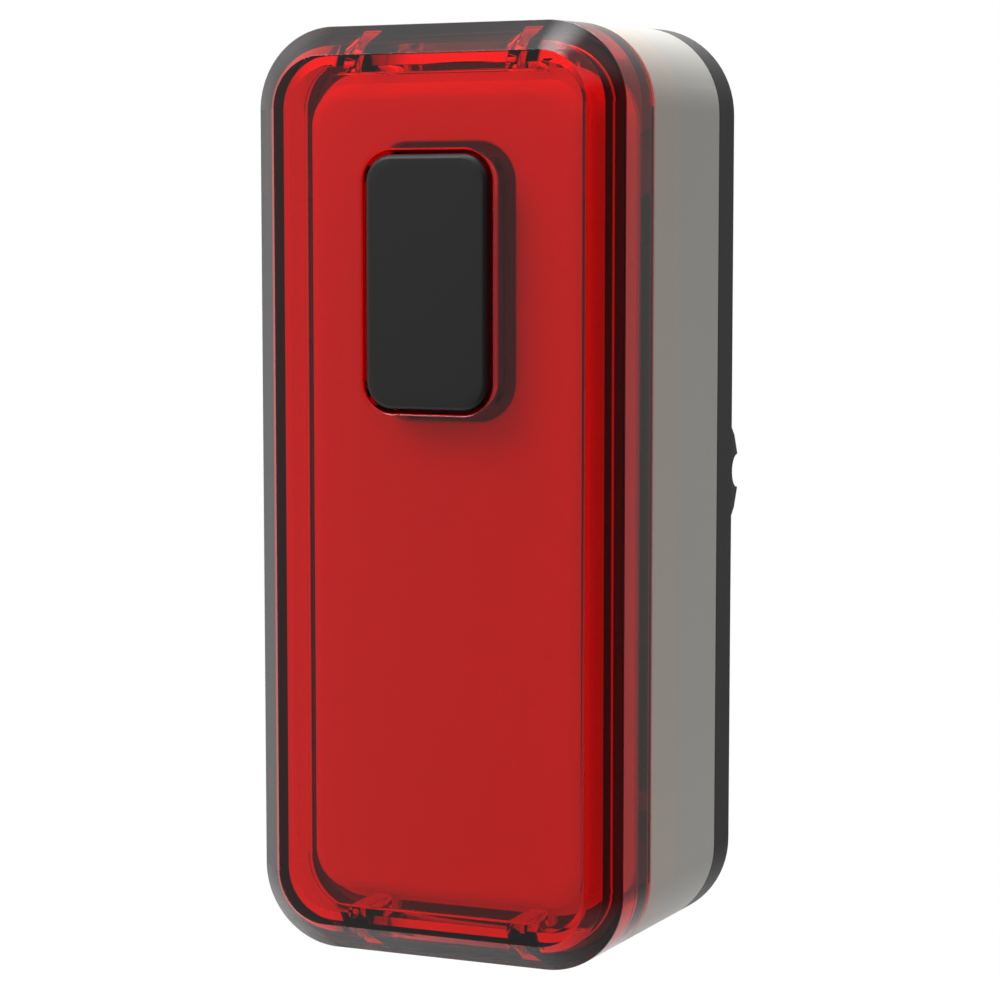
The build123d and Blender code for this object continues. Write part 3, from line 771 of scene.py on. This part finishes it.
form = bmesh.new()
loops = rings(form, led_base, ((board_front, 0, 0), (led_front, 0, 0.12), (led_front, -0.2, 0)), steps=3)
loops += rings(form, dome_base, ((led_front, 0, 0), (led_front + 0.3, -0.28, 0)), steps=3)
capped(form, loops)
led = settled(shaped(form, "diode"))
leds = repeated(
    "diode_column", led, led_white, 1, led_count, 0.0, led_pitch * (led_count - 1), 0.0, led_center
)
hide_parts("light_leds")
finished(leds, led_white, "front_cover")


def black_package(name):
    """Black moulded epoxy with a fine grit."""
    material = bpy.data.materials.new(name)
    material.use_nodes = True
    tree = material.node_tree
    surface = tree.nodes["Principled BSDF"]
    place = add_node(tree, "ShaderNodeTexCoord").outputs["Object"]
    grit = add_node(tree, "ShaderNodeTexNoise", {"Vector": place, "Scale": 1 / (0.15 * mm), "Detail": 2.0})
    tone = add_node(
        tree,
        "ShaderNodeMix",
        {0: grit.outputs[0], 6: linear("#1B1B1D"), 7: linear("#2C2C2F")},
        data_type="RGBA",
    )
    tree.links.new(tone.outputs[2], surface.inputs["Base Color"])
    surface.inputs["Roughness"].default_value = 0.55
    return material


def tinned_package(name, axis, middle, spacing, reach):
    """Black package, tinned further out than a reach from its middle, the middles at a spacing."""
    material = black_package(name)
    tree = material.node_tree
    surface = tree.nodes["Principled BSDF"]
    black = surface.inputs["Base Color"].links[0].from_socket
    place = add_node(tree, "ShaderNodeTexCoord").outputs["Object"]
    along = add_node(tree, "ShaderNodeSeparateXYZ", {0: place}).outputs[axis]
    offset = add_node(tree, "ShaderNodeMath", {0: along, 1: middle * mm}, operation="SUBTRACT").outputs[0]
    out = add_node(tree, "ShaderNodeMath", {0: offset, 1: spacing / 2 * mm}, operation="PINGPONG").outputs[0]
    tinned = add_node(tree, "ShaderNodeMath", {0: out, 1: reach * mm}, operation="GREATER_THAN").outputs[0]
    tone = add_node(tree, "ShaderNodeMix", {0: tinned, 6: black, 7: linear("#C6C7CA")}, data_type="RGBA")
    tree.links.new(tone.outputs[2], surface.inputs["Base Color"])
    tree.links.new(tinned, surface.inputs["Metallic"])
    rough = add_node(tree, "ShaderNodeMapRange", {0: tinned, 3: 0.55, 4: 0.35}).outputs[0]
    tree.links.new(rough, surface.inputs["Roughness"])
    return material


# each resistor is 2 mm tall, and the 0.35 mm at each of its ends are tinned
tinned_ends = tinned_package("black_chip_resistor_with_tinned_ends", "Z", led_center, led_pitch, 0.65)
resistor_base = (1.25, 2.0, 0.1, 0.0, 0.0)
resistor_front = 18.5
resistor_side = 4.625
resistor_line = ((board_front, 0, 0), (resistor_front, 0, 0.06), (resistor_front, -0.1, 0))
form = bmesh.new()
capped(form, rings(form, resistor_base, resistor_line, steps=2))
resistor = settled(shaped(form, "resistor"))
resistors = repeated(
    "resistor_column",
    resistor,
    tinned_ends,
    1,
    led_count,
    0.0,
    led_pitch * (led_count - 1),
    resistor_side,
    led_center,
)
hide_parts("led_resistors")
finished(resistors, tinned_ends, "front_cover")


# Control chip and push switch: black epoxy and moulded bodies; the switch has a steel cover over its snap
# dome and a black plunger that the button's post presses.
chip_black = black_package("black_moulded_epoxy")
# the leads of the chip stand out past its body; there is one chip, so the spacing only has to be wide
chip_side = -7.25
chip_width = 3.9
tinned_leads = tinned_package("black_chip_with_tinned_leads", "X", chip_side, 20.0, chip_width / 2)
for node, epoxy in (("control_chip", tinned_leads), ("switch_body", chip_black)):
    piece = eased(node, node + "_package", 0.06)
    finished(piece, epoxy, "front_cover")
piece = eased("switch_cover", "switch_cover_plate", 0.04)
finished(piece, nickel, "front_cover")
piece = eased("switch_plunger", "switch_plunger_pin", 0.1)
finished(piece, chip_black, "button")


# Diffuser: opal white polycarbonate box with rounded front edges on a narrow flange, with an opening for the
# button. Screw bosses stand inside it, and the posts of the lens hold down four ears of the flange.
opal = moulded_plastic("opal_white_polycarbonate", "#F1EFEC", 0.4, 0.5, 0.002)
flange_front = 18.9
flange_reach = 1.1
diffuser_inner = 21.2
diffuser_front = 22.4
button_center = 17.2
box_base = (24.0, 66.1, 3.45, 0.0, 0.0)
opening_base = (12.5, 22.1, 3.2, 0.0, button_center)
hollow_base = (21.6, 63.7, 2.25, 0.0, 0.0)
boss_width = 3.0
boss_wall = 0.7
boss_end = diffuser_inner + 0.2
ear_side = 7.0
ear_up = 33.9
ear_width = 2.6
ear_front = 18.8
form = bmesh.new()
loops = rings(
    form,
    box_base,
    (
        (board_front, -0.4, 0),
        (board_front, flange_reach, 0.1),
        (flange_front, flange_reach, 0.15),
        (flange_front, 0, 0.15),
        (diffuser_front, 0, 1.4),
        (diffuser_front, -2.2, 0),
    ),
    steps=16,
    arc_steps=8,
)
loops += rings(
    form,
    opening_base,
    ((diffuser_front, 0.3, 0), (diffuser_front, 0, 0.2), (diffuser_inner, 0, 0.1), (diffuser_inner, 0.3, 0)),
    steps=16,
)
loops += rings(
    form,
    hollow_base,
    ((diffuser_inner, -1.0, 0), (diffuser_inner, 0, 0.4), (board_front, 0, 0.1), (board_front, 0.3, 0)),
    steps=16,
)
skin(form, loops, closed=True)
for x in (-board_hole_side, board_hole_side):
    for z in (-board_hole_up, board_hole_up):
        tube = rings(
            form,
            (boss_width, boss_width, boss_width / 2, x, z),
            ((board_front, -boss_wall, 0), (board_front, 0, 0), (boss_end, 0, 0), (boss_end, -boss_wall, 0)),
            steps=6,
        )
        skin(form, tube, closed=True)
for x in (-ear_side, ear_side):
    for z in (-ear_up, ear_up):
        loops = rings(
            form,
            (ear_width, ear_width, 0.4, x, z),
            ((board_front, -0.3, 0), (board_front, 0, 0.1), (ear_front, 0, 0.15), (ear_front, -0.3, 0)),
            steps=4,
        )
        capped(form, loops)
box = settled(shaped(form, "diffuser_box"))
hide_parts("light_diffuser")
finished(box, opal, "front_cover")


# Button: dark grey ABS cap with a flange behind the diffuser, hollow at the back, with a post in its middle
# that reaches the switch. Its front edge is rounded.
button_abs = moulded_plastic("dark_satin_abs", "#18181A", 0.4, 0.25, 0.003)
button_base = (10.5, 20.1, 2.2, 0.0, button_center)
button_back = 20.2
button_flange_front = 21.1
button_front = 26.6
button_wall = 1.4
button_flange_reach = 1.5
post_width = 4.0
post_end = button_front - button_wall + 0.3
form = bmesh.new()
loops = rings(
    form,
    button_base,
    (
        (button_back, -button_wall, 0),
        (button_back, button_flange_reach, 0.15),
        (button_flange_front, button_flange_reach, 0.15),
        (button_flange_front, 0, 0.1),
        (button_front, 0, 0.45),
        (button_front, -1.2, 0),
    ),
    steps=12,
    arc_steps=6,
)
skin(form, loops)
form.faces.new(loops[-1])
inside = rings(form, button_base, ((button_front - button_wall, -button_wall, 0),), steps=12)
skin(form, [loops[0], inside[0]])
form.faces.new(inside[0])
post = rings(
    form,
    (post_width, post_width, post_width / 2, 0.0, button_center),
    ((button_back, -1.0, 0), (button_back, 0, 0.15), (post_end, 0, 0)),
    steps=6,
)
capped(form, post)
cap = settled(shaped(form, "button_cap"))
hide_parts("power_button")
finished(cap, button_abs, "button")


# Lens cover: clear red polycarbonate, polished, moulded in one piece with its four snap hooks and the four
# posts that hold the diffuser. Its front edge is chamfered, a lip fits inside the housing, and a window lets
# the button through.
red_lens = bpy.data.materials.new("clear_red_polycarbonate")
red_lens.use_nodes = True
tree = red_lens.node_tree
surface = tree.nodes["Principled BSDF"]
surface.inputs["Base Color"].default_value = linear("#FFB4AC")
surface.inputs["Transmission Weight"].default_value = 1.0
surface.inputs["IOR"].default_value = 1.58
place = add_node(tree, "ShaderNodeTexCoord").outputs["Object"]
# the polish of the mould leaves a faint haze, some 8 mm wide
haze = add_node(tree, "ShaderNodeTexNoise", {"Vector": place, "Scale": 1 / (8 * mm), "Detail": 2.0})
rough = add_node(tree, "ShaderNodeMapRange", {0: haze.outputs[0], 3: 0.0, 4: 0.03}).outputs[0]
tree.links.new(rough, surface.inputs["Roughness"])
output = tree.nodes["Material Output"]
rays = add_node(tree, "ShaderNodeLightPath").outputs
clear = add_node(tree, "ShaderNodeBsdfTransparent", {"Color": linear("#FFE0DC")})
mixed = add_node(
    tree, "ShaderNodeMixShader", {0: rays["Is Shadow Ray"], 1: surface.outputs[0], 2: clear.outputs[0]}
)
tree.links.new(mixed.outputs[0], output.inputs["Surface"])
# red light loses some 10 % in each millimetre, green and blue some three quarters
dye = add_node(tree, "ShaderNodeVolumeAbsorption", {"Color": linear("#F7383F"), "Density": 1500.0})
tree.links.new(dye.outputs[0], output.inputs["Volume"])

joint = 18.16
lip_back = 16.9
lens_inner = 24.1
lens_edge = 24.0
lens_front = 26.3
lens_wall = 2.4
window_base = (11.1, 20.7, 2.5, 0.0, button_center)
form = bmesh.new()
loops = rings(
    form,
    body_base,
    (
        (joint, -0.5, 0),
        (joint, 0.216, 0.1),
        (lens_edge, 0, 0.2),
        (lens_front, -2.4, 0.06),
        (lens_front, -3.2, 0),
    ),
    steps=64,
)
loops += rings(
    form,
    window_base,
    ((lens_front, 0.5, 0), (lens_front, 0, 0.2), (lens_inner, 0, 0.1), (lens_inner, 0.4, 0)),
    steps=64,
)
loops += rings(
    form,
    body_base,
    (
        (lens_inner, -lens_wall - 1.6, 0),
        (lens_inner, -lens_wall - 0.834, 0.05),
        (lens_inner - 0.83, -lens_wall + 0.027, 0.05),
        (lip_back, -lens_wall + 0.26, 0.1),
        (lip_back, -0.84, 0.15),
        (joint, -0.884, 0.01),
        (joint, -0.7, 0),
    ),
    steps=64,
    arc_steps=6,
)
skin(form, loops, closed=True)
lens = shaped(form, "clear_lens")
form = bmesh.new()
hook_side = 7.0
hook_width = 1.6
arm_top = 35.324
hook_end = 14.2
barb = 1.2
hook_outline = (
    (17.9, arm_top + 0.4),
    (lip_back + 0.2, arm_top + 0.4),
    (lip_back + 0.2, arm_top),
    (hook_end + barb, arm_top),
    (hook_end + barb, arm_top + 1.1),
    (hook_end, arm_top),
    (hook_end, arm_top - 1.0),
    (17.9, arm_top - 1.0),
)
post_outline = ((lens_inner + 0.6, 36.0), (19.0, 36.0), (19.0, 33.7), (lens_inner + 0.6, 33.7))
for x in (-hook_side, hook_side):
    for z in (-1, 1):
        for outline in (hook_outline, post_outline):
            loops = [
                [form.verts.new(Vector((x + across, -station, z * up)) * mm) for station, up in outline]
                for across in (-hook_width / 2, hook_width / 2)
            ]
            capped(form, loops)
bmesh.ops.recalc_face_normals(form, faces=form.faces)
bmesh.ops.bevel(
    form,
    geom=form.edges[:],
    offset=0.07 * mm,
    offset_type="OFFSET",
    segments=2,
    profile=0.5,
    affect="EDGES",
)
hooks = shaped(form, "hooks")
joined = lens.modifiers.new("hooks", "BOOLEAN")
joined.operation = "UNION"
joined.solver = "EXACT"
joined.object = hooks
lens.modifiers.move(1, 0)
lens = settled(lens)
bpy.data.objects.remove(hooks)
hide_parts("lens_cover", "snap_hooks")
finished(lens, red_lens, "front_cover")
